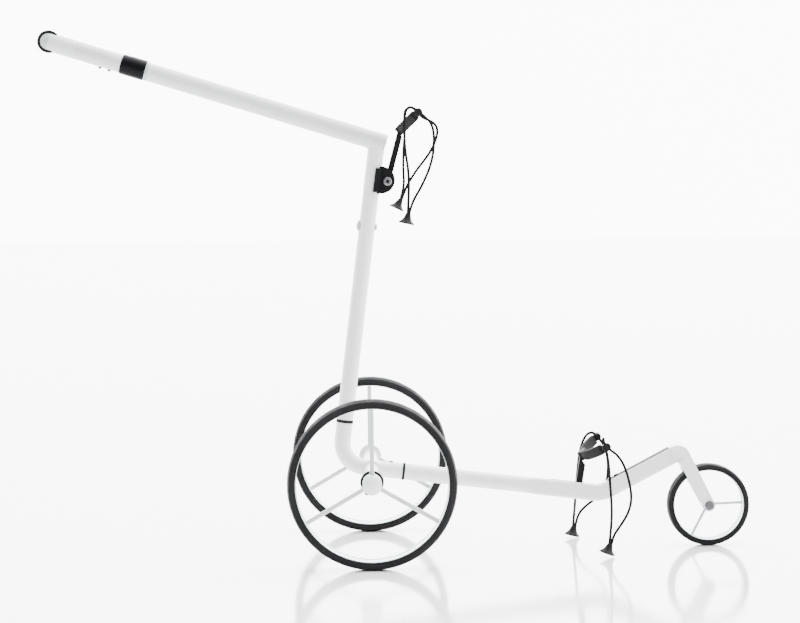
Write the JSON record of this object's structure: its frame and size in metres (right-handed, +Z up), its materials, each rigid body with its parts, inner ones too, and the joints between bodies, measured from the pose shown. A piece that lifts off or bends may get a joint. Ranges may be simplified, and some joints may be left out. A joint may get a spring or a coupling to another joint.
{
  "type": "golf push cart",
  "caption": "Three-wheel golf push cart with a bent tube frame, telescoping handle, folding upper and lower bag cradles and elastic cord loops with bell-shaped stops.",
  "frame": {"origin": "floor level under the middle of the cart's length and width, where the tyres stand", "axes": "+Z up, +X the way the cart rolls (towards the single front wheel), +Y the cart's left side"},
  "size_m": [1.3013, 0.626, 0.963],
  "materials": {
    "white_paint": "gloss powder coat",
    "tyre_rubber": "moulded solid rubber",
    "black_rubber": "soft matt rubber",
    "black_plastic": "fine moulded grain",
    "gloss_black": "polished",
    "black_metal": "black powder coat",
    "steel": "brushed",
    "grey_metal": "satin",
    "zinc": "zinc plated",
    "elastic": "woven sheath over elastic",
    "clear_ring": "translucent",
    "white_plastic": "satin"
  },
  "bodies": {
    "frame": {"axle_tube": "white_paint", "axle_flanges": "white_paint", "stub_axles": "steel", "centre_elbow": "white_paint", "socket_seals": "black_rubber", "main_tube": "white_paint", "main_cross_bolt": "black_metal", "handle_tube": "white_paint", "handle_front_cap": "white_paint", "clamp_ring": "clear_ring", "clamp_collar": "gloss_black", "clamp_lever_pin": "steel", "upper_bracket": "black_metal", "upper_pivot_bolt": "zinc", "front_tube": "white_paint", "bar_strip": "black_plastic", "bar_screw": "black_metal", "lower_pivot_pin": "white_paint", "fork": "white_paint", "front_axle_bolt": "zinc", "front_spacers": "zinc"},
    "clamp_lever": {"clamp_lever": "gloss_black"},
    "grip": {"grip_tube": "white_paint", "grip_inner_tube": "grey_metal", "grip_end_cap": "white_paint", "grip_bumper": "black_rubber", "grip_studs": "zinc"},
    "snap_button": {"snap_button": "black_plastic"},
    "upper_support": {"upper_bar": "black_metal", "upper_cradle": "black_metal", "upper_pads": "black_rubber", "upper_pivot_washers": "zinc"},
    "upper_cords": {"upper_cord_left": "elastic", "upper_cord_right": "elastic", "upper_cones": "black_plastic", "upper_swivels": "black_plastic"},
    "lower_support": {"lower_post": "black_metal", "lower_cradle": "black_metal", "lower_pads": "black_rubber"},
    "lower_cords": {"lower_cord_left": "elastic", "lower_cord_right": "elastic", "lower_cones": "black_plastic", "lower_swivels": "black_plastic"},
    "rear_wheel_left": {"rear_tyre_left": "tyre_rubber", "rear_rim_left": "white_paint", "rear_spider_left": "grey_metal", "rear_bearings_left": "zinc", "rear_hub_cap_left": "white_plastic"},
    "rear_wheel_right": {"rear_tyre_right": "tyre_rubber", "rear_rim_right": "white_paint", "rear_spider_right": "grey_metal", "rear_bearings_right": "zinc", "rear_hub_cap_right": "white_plastic"},
    "front_wheel": {"front_tyre": "tyre_rubber", "front_rim": "white_paint", "front_spider": "grey_metal", "front_bearings": "zinc"},
    "release_lever_left": {"release_lever_left": "black_plastic"},
    "release_lever_right": {"release_lever_right": "black_plastic"}
  },
  "joints": [
    {"name": "rear_left_spin", "type": "hinge", "parent": "frame", "child": "rear_wheel_left", "pos_m": [-0.0479, 0.28, 0.15], "axis": [0, 1, 0], "continuous": true},
    {"name": "rear_right_spin", "type": "hinge", "parent": "frame", "child": "rear_wheel_right", "pos_m": [-0.0479, -0.28, 0.15], "axis": [0, 1, 0], "continuous": true},
    {"name": "front_spin", "type": "hinge", "parent": "frame", "child": "front_wheel", "pos_m": [0.5755, 0, 0.0757], "axis": [0, 1, 0], "continuous": true},
    {"name": "upper_support_fold", "type": "hinge", "parent": "frame", "child": "upper_support", "pos_m": [-0.0115, 0, 0.6797], "axis": [0, 1, 0], "range_deg": [0, 150]},
    {"name": "upper_cords_swing", "type": "hinge", "parent": "upper_support", "child": "upper_cords", "pos_m": [0.04374, 0, 0.80394], "axis": [0, 1, 0], "range_deg": [-150, 0]},
    {"name": "lower_support_fold", "type": "hinge", "parent": "frame", "child": "lower_support", "pos_m": [0.3348, 0, 0.104], "axis": [0, -1, 0], "range_deg": [0, 65]},
    {"name": "lower_cords_swing", "type": "hinge", "parent": "lower_support", "child": "lower_cords", "pos_m": [0.37939, 0, 0.19373], "axis": [0, -1, 0], "range_deg": [-52, 0]},
    {"name": "grip_slide", "type": "slide", "parent": "frame", "child": "grip", "axis": [-0.9537, 0, 0.3007], "range_m": [0, 0.08]},
    {"name": "clamp_lever_open", "type": "hinge", "parent": "frame", "child": "clamp_lever", "pos_m": [-0.47478, 0, 0.91203], "axis": [0, -1, 0], "range_deg": [0, 95]},
    {"name": "snap_button_press", "type": "slide", "parent": "frame", "child": "snap_button", "axis": [-0.1219, 0, -0.9925], "range_m": [0, 0.0034], "stiffness_N_per_m": 800},
    {"name": "release_left_turn", "type": "hinge", "parent": "frame", "child": "release_lever_left", "pos_m": [-0.0479, 0.247, 0.15], "axis": [0, 1, 0], "range_deg": [0, 25], "stiffness_Nm_per_rad": 0.15},
    {"name": "release_right_turn", "type": "hinge", "parent": "frame", "child": "release_lever_right", "pos_m": [-0.0479, -0.247, 0.15], "axis": [0, 1, 0], "range_deg": [0, 25], "stiffness_Nm_per_rad": 0.15}
  ],
  "couplings": [
    {"joint": "upper_cords_swing", "follows": "upper_support_fold", "ratio": -1},
    {"joint": "lower_cords_swing", "follows": "lower_support_fold", "ratio": -0.8}
  ]
}
